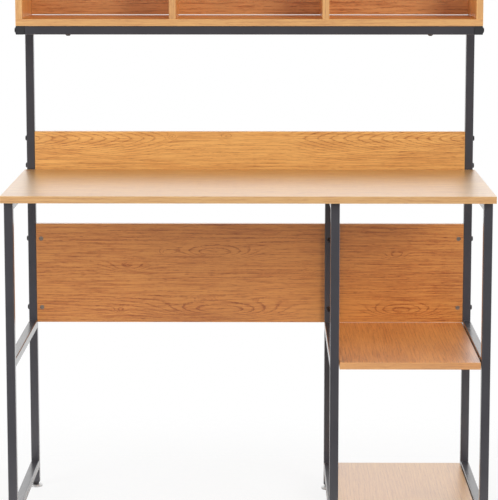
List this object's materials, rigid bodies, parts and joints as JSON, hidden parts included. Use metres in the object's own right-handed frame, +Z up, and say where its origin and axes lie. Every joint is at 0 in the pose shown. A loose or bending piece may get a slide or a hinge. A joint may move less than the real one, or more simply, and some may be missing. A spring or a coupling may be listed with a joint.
{
  "type": "student desk with hutch",
  "caption": "Student desk: a square steel-tube frame carries a wood-laminate desktop, open shelves on the right, a modesty panel, an upstand and a raised hutch.",
  "frame": {"origin": "on the floor, under the middle of the desk's outline", "axes": "+X to the right of a person facing the front, +Y from the front to the back, +Z up"},
  "size_m": [1.041, 0.5044, 1.35],
  "materials": {
    "oak_laminate": "satin laminate with a plain-sawn oak print and matching edge band",
    "black_tube": "satin black powder coat",
    "dark_steel": "dark zinc plate",
    "bright_zinc": "bright zinc plate",
    "black_plastic": "matte moulded plastic",
    "beech": "raw fluted dowel"
  },
  "bodies": {
    "desk": {"arm_end_caps": "black_plastic", "barrel_nuts": "bright_zinc", "bottom_shelf": "oak_laminate", "desktop": "oak_laminate", "desktop_screws": "dark_steel", "frame_bolts": "dark_steel", "hutch_back": "oak_laminate", "hutch_base": "oak_laminate", "hutch_dowels": "beech", "hutch_front_rail": "black_tube", "hutch_left_divider": "oak_laminate", "hutch_left_side": "oak_laminate", "hutch_rear_rail": "black_tube", "hutch_right_divider": "oak_laminate", "hutch_right_side": "oak_laminate", "hutch_screws": "dark_steel", "hutch_top": "oak_laminate", "inner_bottom_rail": "black_tube", "inner_front_leg": "black_tube", "inner_leg_screws": "dark_steel", "inner_middle_rail": "black_tube", "inner_rear_leg": "black_tube", "inner_top_rail": "black_tube", "left_bottom_rail": "black_tube", "left_front_leg": "black_tube", "left_hutch_arm": "black_tube", "left_middle_rail": "black_tube", "left_rear_upright": "black_tube", "left_top_rail": "black_tube", "leg_inserts": "black_plastic", "middle_shelf": "oak_laminate", "modesty_panel": "oak_laminate", "rail_end_plugs": "black_plastic", "right_bottom_rail": "black_tube", "right_front_leg": "black_tube", "right_hutch_arm": "black_tube", "right_middle_rail": "black_tube", "right_rear_upright": "black_tube", "right_top_rail": "black_tube", "shelf_screws": "dark_steel", "shelf_tabs": "black_tube", "upstand": "oak_laminate"},
    "left_front_foot": {"left_front_foot_pad": "bright_zinc", "left_front_foot_stud": "dark_steel"},
    "left_rear_foot": {"left_rear_foot_pad": "bright_zinc", "left_rear_foot_stud": "dark_steel"},
    "inner_front_foot": {"inner_front_foot_pad": "bright_zinc", "inner_front_foot_stud": "dark_steel"},
    "inner_rear_foot": {"inner_rear_foot_pad": "bright_zinc", "inner_rear_foot_stud": "dark_steel"},
    "right_front_foot": {"right_front_foot_pad": "bright_zinc", "right_front_foot_stud": "dark_steel"},
    "right_rear_foot": {"right_rear_foot_pad": "bright_zinc", "right_rear_foot_stud": "dark_steel"}
  },
  "joints": [
    {"name": "left_front_foot_height", "type": "slide", "parent": "desk", "child": "left_front_foot", "axis": [0, 0, -1], "range_m": [0, 0.01]},
    {"name": "left_rear_foot_height", "type": "slide", "parent": "desk", "child": "left_rear_foot", "axis": [0, 0, -1], "range_m": [0, 0.01]},
    {"name": "inner_front_foot_height", "type": "slide", "parent": "desk", "child": "inner_front_foot", "axis": [0, 0, -1], "range_m": [0, 0.01]},
    {"name": "inner_rear_foot_height", "type": "slide", "parent": "desk", "child": "inner_rear_foot", "axis": [0, 0, -1], "range_m": [0, 0.01]},
    {"name": "right_front_foot_height", "type": "slide", "parent": "desk", "child": "right_front_foot", "axis": [0, 0, -1], "range_m": [0, 0.01]},
    {"name": "right_rear_foot_height", "type": "slide", "parent": "desk", "child": "right_rear_foot", "axis": [0, 0, -1], "range_m": [0, 0.01]}
  ]
}
